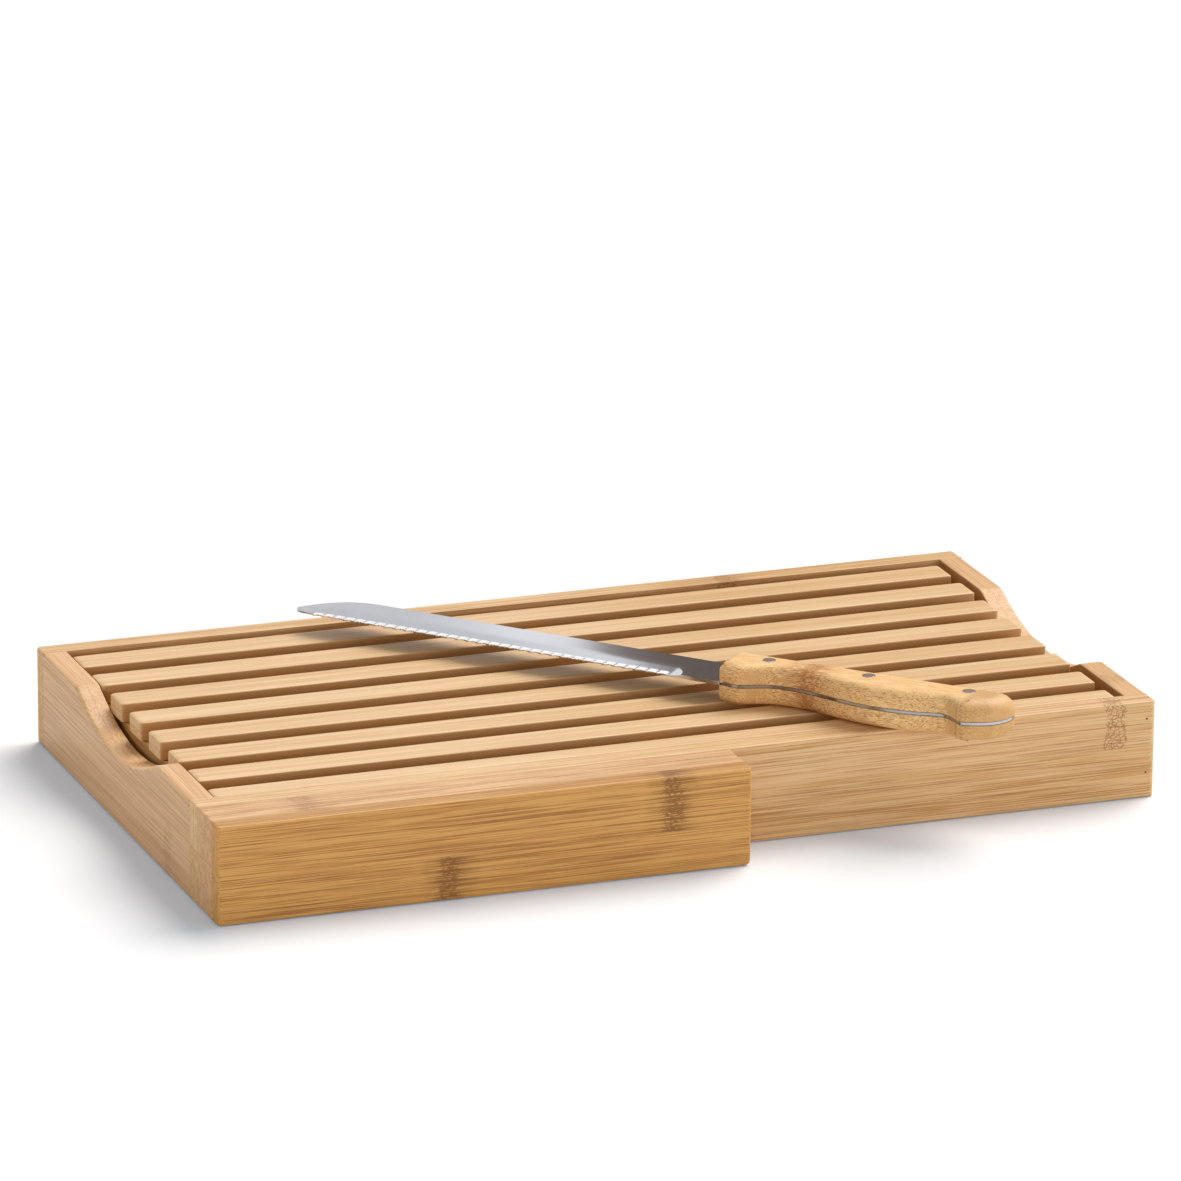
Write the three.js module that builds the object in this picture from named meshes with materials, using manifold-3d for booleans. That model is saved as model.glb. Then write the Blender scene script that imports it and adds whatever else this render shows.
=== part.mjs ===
// Bamboo bread board: a crumb tray with a lift-out slatted grate, a knife
// block along the front left, and a bread knife lying across the grate.
// Millimetres, +Z up. The origin is the middle of the tray's underside,
// +X runs along the length and the block side faces -Y.

import * as THREE from 'three';
import Module from 'manifold-3d';
import { mergeVertices } from 'three/addons/utils/BufferGeometryUtils.js';
import { RoundedBoxGeometry } from 'three/addons/geometries/RoundedBoxGeometry.js';

// Tray
const tray_length = 400;
const tray_depth = 212;
const tray_height = 40;
const wall_thickness = 10;
const panel_thickness = 10;
const floor_thickness = 5;
const board_edge_radius = 1;

// Finger scoop in each end panel: a shallow arc, rounded where it meets the rim
const scoop_width = 104;
const scoop_depth = 12.3;
const scoop_rim_radius = 12;
const scoop_arc_steps = 20;
const scoop_rim_steps = 3;

// Ledges along the two long walls, which carry the grate
const ledge_width = 8;
const ledge_height = 15;

// Brads that hold the long walls to the end panels
const brad_diameter = 1.6;
const brad_length = 24;
const brad_end_inset = 4;
const brad_height_shares = { low: 0.26, high: 0.82 };

// Grate
const slat_width = 15;
const slat_thickness = 8;
const slat_gap = 10;
const front_slat_width = 9.7;
const slat_edge_radius = 1.2;
const slat_left_clearance = 0.4;
const slat_right_clearance = 3.5;
const crossbar_width = 15;
const crossbar_inset = 1.6;
const crossbar_count = 3;
const crossbar_end_clearance = 0.5;

// Knife block
const block_length = 218;
const block_depth = 25;
const cheek_thickness = 8;
const slot_width = 5;
const slot_wall = 5;
const slot_end_wall = 13;

// Knife
const knife_x = 83.8;
const knife_y = -87.8;
const knife_angle = THREE.MathUtils.degToRad(-46.2);
const handle_length = 121;
const handle_width = 24.7;
const handle_thickness = 17;
const handle_middle_share = 0.49;
const handle_back_to_rivets = 9.5;
const steel_thickness = 1.6;
const blade_length = 192.7;
const blade_width = 21.8;
const blade_turn = THREE.MathUtils.degToRad(2);
const nose_length = 28;
const scallop_pitch = 4.75;
const scallop_depth = 1.2;
const scallop_heel = 21;
const rivet_diameter = 5.4;
const rivet_pitch = 43.2;

// Rounding of the handle scales towards their flat outer faces: how far it
// reaches in from each side of the handle, and how tall it is there
const belly_rounding = { reach: 4.5, rise: 4 };
const back_rounding = { reach: 6, rise: 4.5 };
const front_rounding = { reach: 3, rise: 2.5 };

// Clearances and cuts
const running_gap = 0.3;
const cut_overrun = 2;

const bamboo = { color: 0xd9b27c, roughness: 0.55, metalness: 0 };
const pale_bamboo = { color: 0xe6c598, roughness: 0.55, metalness: 0 };
const handle_bamboo = { color: 0xd8a35c, roughness: 0.45, metalness: 0 };
const steel = { color: 0xb9bcc0, roughness: 0.3, metalness: 1 };
const dark_steel = { color: 0x6a625e, roughness: 0.4, metalness: 1 };

const wasm = await Module();
wasm.setup();

const board = new THREE.Group();

// Booleans and placing

function welded(geometry) {
  const bare = geometry.clone();
  bare.deleteAttribute('normal');
  bare.deleteAttribute('uv');
  return mergeVertices(bare);
}

function toSolid(geometry) {
  const closed = welded(geometry);
  return new wasm.Manifold(new wasm.Mesh({
    numProp: 3,
    vertProperties: new Float32Array(closed.attributes.position.array),
    triVerts: new Uint32Array(closed.index.array),
  }));
}

function toGeometry(solid) {
  const { vertProperties, triVerts } = solid.getMesh();
  const geometry = new THREE.BufferGeometry();
  geometry.setAttribute('position', new THREE.BufferAttribute(vertProperties, 3));
  geometry.setIndex(new THREE.BufferAttribute(triVerts, 1));
  geometry.computeVertexNormals();
  return geometry;
}

function cut(geometry, tools) {
  const solid = tools.reduce((rest, tool) => rest.subtract(toSolid(tool)), toSolid(geometry));
  return toGeometry(solid);
}

function add(parent, name, geometry, look) {
  const mesh = new THREE.Mesh(geometry, new THREE.MeshStandardMaterial(look));
  mesh.name = name;
  parent.add(mesh);
  return mesh;
}

// A board between two corners, with its edges eased
function boardBetween(low, high, radius) {
  const size = new THREE.Vector3().subVectors(high, low);
  const middle = new THREE.Vector3().addVectors(low, high).multiplyScalar(0.5);
  const geometry = new RoundedBoxGeometry(size.x, size.y, size.z, 1, radius);
  return geometry.translate(middle.x, middle.y, middle.z);
}

function plainBox(low, high) {
  const size = new THREE.Vector3().subVectors(high, low);
  const middle = new THREE.Vector3().addVectors(low, high).multiplyScalar(0.5);
  return new THREE.BoxGeometry(size.x, size.y, size.z).translate(middle.x, middle.y, middle.z);
}

// Brads, two at each corner, driven through the long walls into the end panels

const outer_x = tray_length / 2;
const outer_y = tray_depth / 2;
const inner_x = outer_x - panel_thickness;
const inner_y = outer_y - wall_thickness;
const brad_x = outer_x - brad_end_inset;

// A round pin or drill along Y that runs from the wall's face at y = side * start
function pinAlongY(radius, x, side, start, end, z) {
  const geometry = new THREE.CylinderGeometry(radius, radius, end - start, 8);
  return geometry.translate(x, side * (start + end) / 2, z);
}

function bradDrills(side) {
  const drills = [];
  for (const x of [-brad_x, brad_x]) {
    for (const height_share of Object.values(brad_height_shares)) {
      const z = height_share * tray_height;
      const radius = brad_diameter / 2 + running_gap;
      const start = outer_y - brad_length - running_gap;
      drills.push(pinAlongY(radius, x, side, start, outer_y + cut_overrun, z));
    }
  }
  return drills;
}

function addBrads() {
  for (const [wall, side] of [['front', -1], ['back', 1]]) {
    for (const [end, x] of [['left', -brad_x], ['right', brad_x]]) {
      for (const [level, height_share] of Object.entries(brad_height_shares)) {
        const z = height_share * tray_height;
        const pin = pinAlongY(brad_diameter / 2, x, side, outer_y - brad_length, outer_y, z);
        add(board, `brad_${wall}_${end}_${level}`, pin, dark_steel);
      }
    }
  }
}

// Tray: two long walls, two end panels with a finger scoop, a floor and two ledges

function addLongWalls() {
  for (const [name, side] of [['front_wall', -1], ['back_wall', 1]]) {
    const near = Math.min(side * inner_y, side * outer_y);
    const far = Math.max(side * inner_y, side * outer_y);
    const low = new THREE.Vector3(-outer_x, near, 0);
    const high = new THREE.Vector3(outer_x, far, tray_height);
    const wall = boardBetween(low, high, board_edge_radius);
    add(board, name, cut(wall, bradDrills(side)), bamboo);
  }
}

// Points along an arc, up to but not including its end
function arcPoints(middle, radius, start, end, steps) {
  const points = [];
  for (let i = 0; i < steps; i++) {
    const angle = THREE.MathUtils.lerp(start, end, i / steps);
    points.push(new THREE.Vector2(radius, 0).rotateAround(new THREE.Vector2(), angle).add(middle));
  }
  return points;
}

function endPanelOutline() {
  const half = scoop_width / 2;
  const radius = (half ** 2 + scoop_depth ** 2) / (2 * scoop_depth);
  const middle = new THREE.Vector2(0, tray_height - scoop_depth + radius);
  const rim_z = tray_height - scoop_rim_radius;
  const rim_y = Math.sqrt((radius + scoop_rim_radius) ** 2 - (middle.y - rim_z) ** 2);
  const turn = Math.atan2(middle.y - rim_z, -rim_y);
  const quarter = Math.PI / 2;
  const back = new THREE.Vector2(rim_y, rim_z);
  const front = new THREE.Vector2(-rim_y, rim_z);
  return new THREE.Shape([
    new THREE.Vector2(-inner_y, 0),
    new THREE.Vector2(inner_y, 0),
    new THREE.Vector2(inner_y, tray_height),
    ...arcPoints(back, scoop_rim_radius, quarter, turn, scoop_rim_steps),
    ...arcPoints(middle, radius, turn - Math.PI, -turn, scoop_arc_steps),
    ...arcPoints(front, scoop_rim_radius, Math.PI - turn, quarter, scoop_rim_steps),
    new THREE.Vector2(-rim_y, tray_height),
    new THREE.Vector2(-inner_y, tray_height),
  ]);
}

function addEndPanels() {
  const outline = endPanelOutline();
  const radius = Math.min(board_edge_radius, panel_thickness / 4);
  for (const [name, start] of [['left_panel', -outer_x], ['right_panel', inner_x]]) {
    const panel = new THREE.ExtrudeGeometry(outline, {
      depth: panel_thickness - 2 * radius,
      bevelSize: radius,
      bevelThickness: radius,
      bevelOffset: -radius,
      bevelSegments: 1,
    });
    panel.translate(0, 0, radius);
    panel.rotateY(Math.PI / 2);
    panel.rotateX(Math.PI / 2);
    panel.translate(start, 0, 0);
    add(board, name, cut(panel, [...bradDrills(-1), ...bradDrills(1)]), bamboo);
  }
}

function addFloor() {
  const low = new THREE.Vector3(-inner_x, -inner_y, 0);
  const high = new THREE.Vector3(inner_x, inner_y, floor_thickness);
  add(board, 'floor_panel', plainBox(low, high), pale_bamboo);
}

function addLedges() {
  const top = floor_thickness + ledge_height;
  const reach = inner_y - ledge_width;
  for (const [name, near, far] of [['front_ledge', -inner_y, -reach], ['back_ledge', reach, inner_y]]) {
    const low = new THREE.Vector3(-inner_x, near, floor_thickness);
    const high = new THREE.Vector3(inner_x, far, top);
    add(board, name, plainBox(low, high), pale_bamboo);
  }
}

// Knife block: a channelled body against the front wall, closed by an outer cheek

function addKnifeBlock() {
  const left = -outer_x;
  const right = left + block_length;
  const back = -outer_y;
  const front = back - block_depth;
  const joint = front + cheek_thickness;
  const cheek_low = new THREE.Vector3(left, front, 0);
  const cheek_high = new THREE.Vector3(right, joint, tray_height);
  add(board, 'block_cheek', boardBetween(cheek_low, cheek_high, board_edge_radius), bamboo);
  const body_low = new THREE.Vector3(left, joint, 0);
  const body_high = new THREE.Vector3(right, back, tray_height);
  const body = boardBetween(body_low, body_high, board_edge_radius);
  const slot_low = new THREE.Vector3(left + slot_end_wall, joint - cut_overrun, slot_wall);
  const slot_high = new THREE.Vector3(right + cut_overrun, joint + slot_width, tray_height - slot_wall);
  add(board, 'block_body', cut(body, [plainBox(slot_low, slot_high)]), bamboo);
}

// Grate: slats flush with the tray's rim, glued on crossbars that rest on the ledges

const slat_left = -inner_x + slat_left_clearance;
const slat_right = inner_x - slat_right_clearance;
const slat_bottom = tray_height - slat_thickness;

function addSlat(parent, name, front, width) {
  const low = new THREE.Vector3(slat_left, front, slat_bottom);
  const high = new THREE.Vector3(slat_right, front + width, tray_height);
  add(parent, name, boardBetween(low, high, slat_edge_radius), pale_bamboo);
}

function addSlats(parent) {
  const first = -inner_y + running_gap;
  addSlat(parent, 'front_slat', first, front_slat_width);
  const start = first + front_slat_width + slat_gap;
  const pitch = slat_width + slat_gap;
  const room = inner_y - running_gap - start;
  const count = Math.floor((room + slat_gap) / pitch);
  for (let i = 0; i < count; i++) {
    addSlat(parent, `slat_${i + 1}`, start + i * pitch, slat_width);
  }
}

function addCrossbars(parent) {
  const bottom = floor_thickness + ledge_height + running_gap;
  const first = slat_left + crossbar_inset;
  const last = slat_right - crossbar_inset - crossbar_width;
  const reach = inner_y - crossbar_end_clearance;
  for (let i = 0; i < crossbar_count; i++) {
    const left = THREE.MathUtils.lerp(first, last, i / (crossbar_count - 1));
    const low = new THREE.Vector3(left, -reach, bottom);
    const high = new THREE.Vector3(left + crossbar_width, reach, slat_bottom);
    add(parent, `crossbar_${i + 1}`, plainBox(low, high), pale_bamboo);
  }
}

function addGrate() {
  const grate = new THREE.Group();
  addSlats(grate);
  addCrossbars(grate);
  board.add(grate);
}

// Knife. Its own frame has the middle rivet at the origin, the butt towards +X,
// the back of the handle towards +Y and the middle of the steel at Z zero.

const handle_front = -handle_length * handle_middle_share;
const handle_butt = handle_front + handle_length;

// Belly and butt of the handle, from the guard at the blade round to the back:
// shares of the handle's length from its front and of its width from its back
const belly_shares = [
  [0, 0.87], [0.05, 0.915], [0.08, 0.905], [0.12, 0.79], [0.16, 0.69], [0.21, 0.65],
  [0.28, 0.665], [0.35, 0.735], [0.42, 0.825], [0.51, 0.905], [0.58, 0.925], [0.65, 0.91],
  [0.71, 0.85], [0.76, 0.785], [0.8, 0.785], [0.83, 0.865], [0.855, 0.96], [0.875, 1],
  [0.9, 0.97], [0.935, 0.885], [0.965, 0.78], [0.986, 0.64], [0.998, 0.485], [1, 0.34],
  [0.99, 0.18], [0.965, 0.05], [0.93, 0],
];

function handlePoint([along_share, down_share]) {
  const x = handle_front + along_share * handle_length;
  const y = handle_back_to_rivets - down_share * handle_width;
  return new THREE.Vector2(x, y);
}

const belly_samples = 44;

function bellyPoints() {
  return new THREE.SplineCurve(belly_shares.map(handlePoint)).getPoints(belly_samples);
}

// A place on the blade: distance from the handle towards the tip, and depth
// below the spine, in the blade's own direction
function bladePoint(reach, depth) {
  const place = new THREE.Vector2(-reach, -depth);
  place.rotateAround(new THREE.Vector2(), -blade_turn);
  return place.add(new THREE.Vector2(handle_front, handle_back_to_rivets));
}

// The rounded nose, from the spine to the cutting edge: shares of the nose's
// length from the tip and of the blade's width below the spine
const nose_end_share = 0.3;
const nose_shares = [
  [1, 0], [0.82, 0.015], [0.62, 0.09], [0.43, 0.22], [0.25, 0.42], [0.1, 0.66],
  [0, 0.86], [0.05, 0.925], [nose_end_share, 0.965],
];
const nose_samples = 24;

function nosePoints() {
  const places = nose_shares.map(([back_share, down_share]) => (
    bladePoint(blade_length - back_share * nose_length, down_share * blade_width)
  ));
  return new THREE.SplineCurve(places).getPoints(nose_samples);
}

// Scallops along the cutting edge, from the nose back to the plain heel
const bite_shares = [0.2, 0.5, 0.8];

function edgePoints() {
  const start = blade_length - nose_end_share * nose_length;
  const count = Math.floor((start - scallop_heel) / scallop_pitch);
  const points = [];
  for (let i = 0; i < count; i++) {
    for (const share of bite_shares) {
      const reach = start - (i + share) * scallop_pitch;
      const bite = Math.sin(Math.PI * share) * scallop_depth;
      points.push(bladePoint(reach, blade_width - bite));
    }
    points.push(bladePoint(start - (i + 1) * scallop_pitch, blade_width));
  }
  return points;
}

function rivetPlaces() {
  return [-rivet_pitch, 0, rivet_pitch];
}

function steelGeometry() {
  const outline = new THREE.Shape([...nosePoints(), ...edgePoints(), ...bellyPoints()]);
  for (const x of rivetPlaces()) {
    const hole = new THREE.Path();
    hole.absarc(x, 0, rivet_diameter / 2 + running_gap, 0, 2 * Math.PI, true);
    outline.holes.push(hole);
  }
  const plate = new THREE.ExtrudeGeometry(outline, {
    depth: steel_thickness,
    curveSegments: 16,
    bevelEnabled: false,
  });
  return plate.translate(0, 0, -steel_thickness / 2);
}

// A handle scale: the handle's outline, upright near the steel and rounded over
// to a flat outer face. A corner is where the outline turns by more than the
// sine given here.
const rounding_steps = 4;
const corner_turn_share = 0.4;

function scaleOutline() {
  return [...bellyPoints(), new THREE.Vector2(handle_front, handle_back_to_rivets)];
}

// Outward normal of the outline's edge that starts at point i
function edgeNormal(points, i) {
  const count = points.length;
  const start = points[(i + count) % count];
  const end = points[(i + 1) % count];
  const along = new THREE.Vector2().subVectors(end, start).normalize();
  return new THREE.Vector2(along.y, -along.x);
}

function roundingAt(normal, key) {
  const towards_back = Math.max(normal.y, 0);
  const towards_front = Math.max(-normal.x, 0);
  const side = THREE.MathUtils.lerp(belly_rounding[key], back_rounding[key], towards_back);
  return THREE.MathUtils.lerp(side, front_rounding[key], towards_front);
}

// The full step inwards at point i: square to both edges that meet there
function fullInset(points, i) {
  const before = edgeNormal(points, i - 1);
  const after = edgeNormal(points, i);
  const reach_before = roundingAt(before, 'reach');
  const reach_after = roundingAt(after, 'reach');
  const turn = before.cross(after);
  if (Math.abs(turn) < corner_turn_share) {
    const middle = new THREE.Vector2().addVectors(before, after).normalize();
    return middle.multiplyScalar((reach_before + reach_after) / 2);
  }
  const x = (reach_before * after.y - reach_after * before.y) / turn;
  const y = (reach_after * before.x - reach_before * after.x) / turn;
  return new THREE.Vector2(x, y);
}

function fullRise(points, i) {
  const before = roundingAt(edgeNormal(points, i - 1), 'rise');
  const after = roundingAt(edgeNormal(points, i), 'rise');
  return (before + after) / 2;
}

function scaleGeometry() {
  const height = handle_thickness / 2 - steel_thickness / 2 - running_gap;
  const points = scaleOutline();
  const insets = points.map((_, i) => fullInset(points, i));
  const rises = points.map((_, i) => fullRise(points, i));
  const ringAt = (inward) => points.map((point, i) => (
    point.clone().addScaledVector(insets[i], -inward)
  ));
  const rings = [{ outline: points, heightAt: () => 0 }];
  for (let k = 0; k <= rounding_steps; k++) {
    const angle = (Math.PI / 2) * (k / rounding_steps);
    rings.push({
      outline: ringAt(1 - Math.cos(angle)),
      heightAt: (i) => height - rises[i] * (1 - Math.sin(angle)),
    });
  }
  return loft(rings);
}

// A closed body through rings of points, capped flat at both ends
function loft(rings) {
  const count = rings[0].outline.length;
  const positions = [];
  for (const { outline, heightAt } of rings) {
    outline.forEach((point, i) => positions.push(point.x, point.y, heightAt(i)));
  }
  const indices = [];
  for (let ring = 0; ring < rings.length - 1; ring++) {
    for (let i = 0; i < count; i++) {
      const a = ring * count + i;
      const b = ring * count + (i + 1) % count;
      indices.push(a, b, b + count, a, b + count, a + count);
    }
  }
  const top = (rings.length - 1) * count;
  for (const [a, b, c] of THREE.ShapeUtils.triangulateShape(rings[rings.length - 1].outline, [])) {
    indices.push(top + a, top + b, top + c);
  }
  for (const [a, b, c] of THREE.ShapeUtils.triangulateShape(rings[0].outline, [])) {
    indices.push(a, c, b);
  }
  const geometry = new THREE.BufferGeometry();
  geometry.setAttribute('position', new THREE.Float32BufferAttribute(positions, 3));
  geometry.setIndex(indices);
  return geometry;
}

function addScales(knife) {
  const drills = rivetPlaces().map((x) => {
    const radius = rivet_diameter / 2 + running_gap;
    const drill = new THREE.CylinderGeometry(radius, radius, handle_thickness + cut_overrun, 16);
    return drill.rotateX(Math.PI / 2).translate(x, 0, 0);
  });
  const shaped = cut(scaleGeometry(), drills);
  const lift = steel_thickness / 2 + running_gap;
  const upper = add(knife, 'upper_scale', shaped, handle_bamboo);
  upper.position.z = lift;
  const mirrored = shaped.clone().scale(1, 1, -1);
  mirrored.index.array.reverse();
  mirrored.computeVertexNormals();
  const lower = add(knife, 'lower_scale', mirrored, handle_bamboo);
  lower.position.z = -lift;
}

function addRivets(knife) {
  const names = ['rivet_front', 'rivet_middle', 'rivet_butt'];
  rivetPlaces().forEach((x, i) => {
    const radius = rivet_diameter / 2;
    const rivet = new THREE.CylinderGeometry(radius, radius, handle_thickness, 16);
    add(knife, names[i], rivet.rotateX(Math.PI / 2).translate(x, 0, 0), dark_steel);
  });
}

function addKnife() {
  const knife = new THREE.Group();
  add(knife, 'blade', steelGeometry(), steel);
  addScales(knife);
  addRivets(knife);
  knife.position.set(knife_x, knife_y, tray_height + running_gap + handle_thickness / 2);
  knife.rotation.z = knife_angle;
  board.add(knife);
}

addLongWalls();
addEndPanels();
addFloor();
addLedges();
addBrads();
addKnifeBlock();
addGrate();
addKnife();
board.updateMatrixWorld(true);

export default board;
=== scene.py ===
import math
from functools import partial

import bmesh
import bpy
import numpy as np
from mathutils import Matrix, Vector


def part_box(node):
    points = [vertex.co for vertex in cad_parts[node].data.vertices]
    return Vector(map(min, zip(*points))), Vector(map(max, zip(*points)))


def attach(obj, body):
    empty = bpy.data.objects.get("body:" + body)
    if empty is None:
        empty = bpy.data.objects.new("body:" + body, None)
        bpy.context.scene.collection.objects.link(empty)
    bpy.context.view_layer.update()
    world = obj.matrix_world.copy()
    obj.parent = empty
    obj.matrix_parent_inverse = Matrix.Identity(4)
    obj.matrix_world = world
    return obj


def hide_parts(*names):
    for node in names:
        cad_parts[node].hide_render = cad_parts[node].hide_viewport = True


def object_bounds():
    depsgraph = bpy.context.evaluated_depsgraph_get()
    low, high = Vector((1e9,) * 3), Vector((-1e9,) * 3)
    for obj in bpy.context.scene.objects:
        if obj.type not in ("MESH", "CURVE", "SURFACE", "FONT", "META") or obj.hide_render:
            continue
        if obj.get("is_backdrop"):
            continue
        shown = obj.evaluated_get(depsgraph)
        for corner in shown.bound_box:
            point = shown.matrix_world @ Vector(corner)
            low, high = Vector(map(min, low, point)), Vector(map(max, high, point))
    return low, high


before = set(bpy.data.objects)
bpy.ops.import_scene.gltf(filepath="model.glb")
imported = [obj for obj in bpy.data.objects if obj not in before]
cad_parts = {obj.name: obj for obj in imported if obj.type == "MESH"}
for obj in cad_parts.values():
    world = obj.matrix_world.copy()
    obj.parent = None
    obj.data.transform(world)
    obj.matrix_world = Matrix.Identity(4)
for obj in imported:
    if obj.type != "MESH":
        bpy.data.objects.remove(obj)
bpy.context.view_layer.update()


# Studio: a plain white sheet under and behind the board, one broad soft light
# from high on the right, two weak low ones in front and at the left, and a graded,
# glowing card behind that only the gloss shows: a painted reflection on the blade.
# The camera has a long lens, off to the left.

camera_place = Vector((-1.19483, -3.20892, 1.15832))
camera_yaw, camera_pitch, camera_roll = (math.radians(a) for a in (20.41, 17.56, 0.41))
picture_width, focal_length_in_pixels, sensor_width = 1181, 9000, 36
nearest_seen, farthest_seen = 0.1, 50
sheet_half, sheet_drop = 4.5, 0.0003
sheet_white = (0.8, 0.8, 0.8, 1)
sheet_lit, sheet_glow = (0.900, 0.833, 0.780, 1), (0.030, 0.105, 0.164, 1)
sky_strength = 0.34
key_from, key_strength, key_spread = Vector((0.60, 0.34, 0.88)), 2.9, math.radians(44)
low_lights = {"front_light": ((0.9, -1.6, 0.30), (1.4, 0.5), 10.5),
              "left_light": ((-1.5, -0.5, 0.30), (0.9, 0.4), 3.2)}
# The glowing card: its graded tone is a painted reflection for the blade, dark at the heel.
card_start, card_end, card_height, card_strength = (0.4556, 0.3640), (-0.2473, 0.6255), 0.46, 1.35
reflection_card_stops = {0: (0.36, 0.30, 0.26), 0.286: (0.36, 0.30, 0.26), 0.309: (0.085, 0.066, 0.056),
              0.368: (0.14, 0.108, 0.092), 0.398: (0.23, 0.19, 0.17), 0.404: (0.95, 0.95, 0.97),
              0.444: (0.90, 0.90, 0.92), 0.505: (0.66, 0.66, 0.675), 1: (0.66, 0.66, 0.68)}


def node(tree, kind, feeds=(), **settings):
    """Adds a node, sets its options, and feeds its inputs with values or wires."""
    made = tree.nodes.new(kind)
    for option, value in settings.items():
        setattr(made, option, value)
    for place, value in dict(feeds).items():
        if isinstance(value, bpy.types.NodeSocket):
            tree.links.new(value, made.inputs[place])
        else:
            made.inputs[place].default_value = value
    return made


def calc(tree, operation, *values):
    """One sum on numbers or wires."""
    return node(tree, "ShaderNodeMath", dict(enumerate(values)), operation=operation).outputs[0]


def vector_calc(tree, operation, *values):
    """One sum on places or directions."""
    made = node(tree, "ShaderNodeVectorMath", dict(enumerate(values)), operation=operation)
    return made.outputs["Value" if operation in ("DOT_PRODUCT", "LENGTH") else "Vector"]


def new_shader(kind, name):
    """A new material or world, and its empty node tree."""
    made = kind.new(name)
    made.use_nodes = True
    made.node_tree.nodes.clear()
    return made, made.node_tree


def place_in_scene(name, data):
    made = bpy.data.objects.new(name, data)
    bpy.context.scene.collection.objects.link(made)
    return made


def mesh_piece(name, points, faces=()):
    mesh = bpy.data.meshes.new(name)
    mesh.from_pydata([tuple(p) for p in points], [], list(faces))
    return place_in_scene(name, mesh)


def shown_rays(tree):
    """1 for the rays that show the white surroundings: to the camera and in gloss or glass."""
    rays = node(tree, "ShaderNodeLightPath")
    seen = calc(tree, "MAXIMUM", rays.outputs["Is Camera Ray"], rays.outputs["Is Glossy Ray"])
    return calc(tree, "MAXIMUM", seen, rays.outputs["Is Transmission Ray"])


def aim_camera():
    right = Vector((math.cos(camera_yaw), -math.sin(camera_yaw), 0))
    ahead = Vector((math.sin(camera_yaw) * math.cos(camera_pitch),
                    math.cos(camera_yaw) * math.cos(camera_pitch), -math.sin(camera_pitch)))
    up = right.cross(ahead)
    right, up = (math.cos(camera_roll) * right + math.sin(camera_roll) * up,
                 math.cos(camera_roll) * up - math.sin(camera_roll) * right)
    turn = Matrix((right, up, -ahead)).transposed().to_4x4()
    return Matrix.Translation(camera_place) @ turn


camera = place_in_scene("camera", bpy.data.cameras.new("camera"))
camera.data.sensor_width = sensor_width
camera.data.lens = sensor_width * focal_length_in_pixels / picture_width
camera.data.clip_start, camera.data.clip_end = nearest_seen, farthest_seen
camera.matrix_world = aim_camera()
bpy.context.scene.camera = camera
bpy.context.scene.view_settings.view_transform = "Standard"

world, world_tree = new_shader(bpy.data.worlds, "studio")
strength = node(world_tree, "ShaderNodeMapRange",
                {"Value": shown_rays(world_tree), "To Min": sky_strength, "To Max": 1}).outputs[0]
sky = node(world_tree, "ShaderNodeBackground", {"Color": (1, 1, 1, 1), "Strength": strength})
node(world_tree, "ShaderNodeOutputWorld", {"Surface": sky.outputs[0]})
bpy.context.scene.world = world

key = place_in_scene("key_light", bpy.data.lights.new("key_light", "SUN"))
key.data.energy, key.data.angle = key_strength, key_spread
key.rotation_euler = key_from.to_track_quat("Z", "Y").to_euler()
for name, (place, size, power) in low_lights.items():
    low_light = place_in_scene(name, bpy.data.lights.new(name, "AREA"))
    low_light.data.energy, low_light.data.shape = power, "RECTANGLE"
    low_light.data.size, low_light.data.size_y = size
    low_light.location = place
    low_light.rotation_euler = Vector(place).to_track_quat("Z", "Y").to_euler()


def white_sheet():
    """The sheet is white to the camera, and still darkens where the board keeps light off it."""
    material, tree = new_shader(bpy.data.materials, "white_sheet")
    paper = node(tree, "ShaderNodeBsdfDiffuse", {"Color": sheet_white})
    lit = node(tree, "ShaderNodeBsdfDiffuse", {"Color": sheet_lit})
    glow = node(tree, "ShaderNodeEmission", {"Color": sheet_glow})
    white = node(tree, "ShaderNodeAddShader", {0: lit.outputs[0], 1: glow.outputs[0]})
    mixed = node(tree, "ShaderNodeMixShader",
                 {0: shown_rays(tree), 1: paper.outputs[0], 2: white.outputs[0]})
    node(tree, "ShaderNodeOutputMaterial", {"Surface": mixed.outputs[0]})
    return material


def painted_reflection_glow():
    """The card's glow, a painted reflection on the blade: dull and warm at the card's start, then a dark band
    and a bright one that fades to light grey.
    """
    material, tree = new_shader(bpy.data.materials, "painted_reflection_card")
    run = Vector(card_end) - Vector(card_start)
    place = node(tree, "ShaderNodeTexCoord").outputs["Object"]
    along = vector_calc(tree, "SUBTRACT", place, (*card_start, 0))
    share = vector_calc(tree, "DOT_PRODUCT", along, (*run / run.length ** 2, 0))
    tone = node(tree, "ShaderNodeValToRGB", {"Fac": share})
    stops = tone.color_ramp.elements
    for position, colour in reflection_card_stops.items():
        stop = stops.new(position) if 0 < position < 1 else stops[-position]
        stop.color = (*colour, 1)
    glow = node(tree, "ShaderNodeEmission", {"Color": tone.outputs[0], "Strength": card_strength})
    node(tree, "ShaderNodeOutputMaterial", {"Surface": glow.outputs[0]})
    return material


card = mesh_piece("card", [(*card_start, 0), (*card_end, 0), (*card_end, card_height),
                           (*card_start, card_height)], [(0, 1, 2, 3)])
card.data.materials.append(painted_reflection_glow())
# The card glows but only the gloss sees it, so it shows only as a painted reflection.
card.visible_camera = card.visible_diffuse = card.visible_shadow = card.visible_transmission = False
card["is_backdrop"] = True

sheet = mesh_piece("sheet", [(x * sheet_half, y * sheet_half, -sheet_drop)
                             for x, y in ((-1, -1), (1, -1), (1, 1), (-1, 1))], [(0, 1, 2, 3)])
sheet.data.materials.append(white_sheet())
sheet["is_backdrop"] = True


# Long walls: two planed bamboo boards, each pressed from split strips about
# 20 mm wide. They run past the end panels, are nailed to them, and have their
# outer corners rounded by hand. The nails sit just below the surface.

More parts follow.
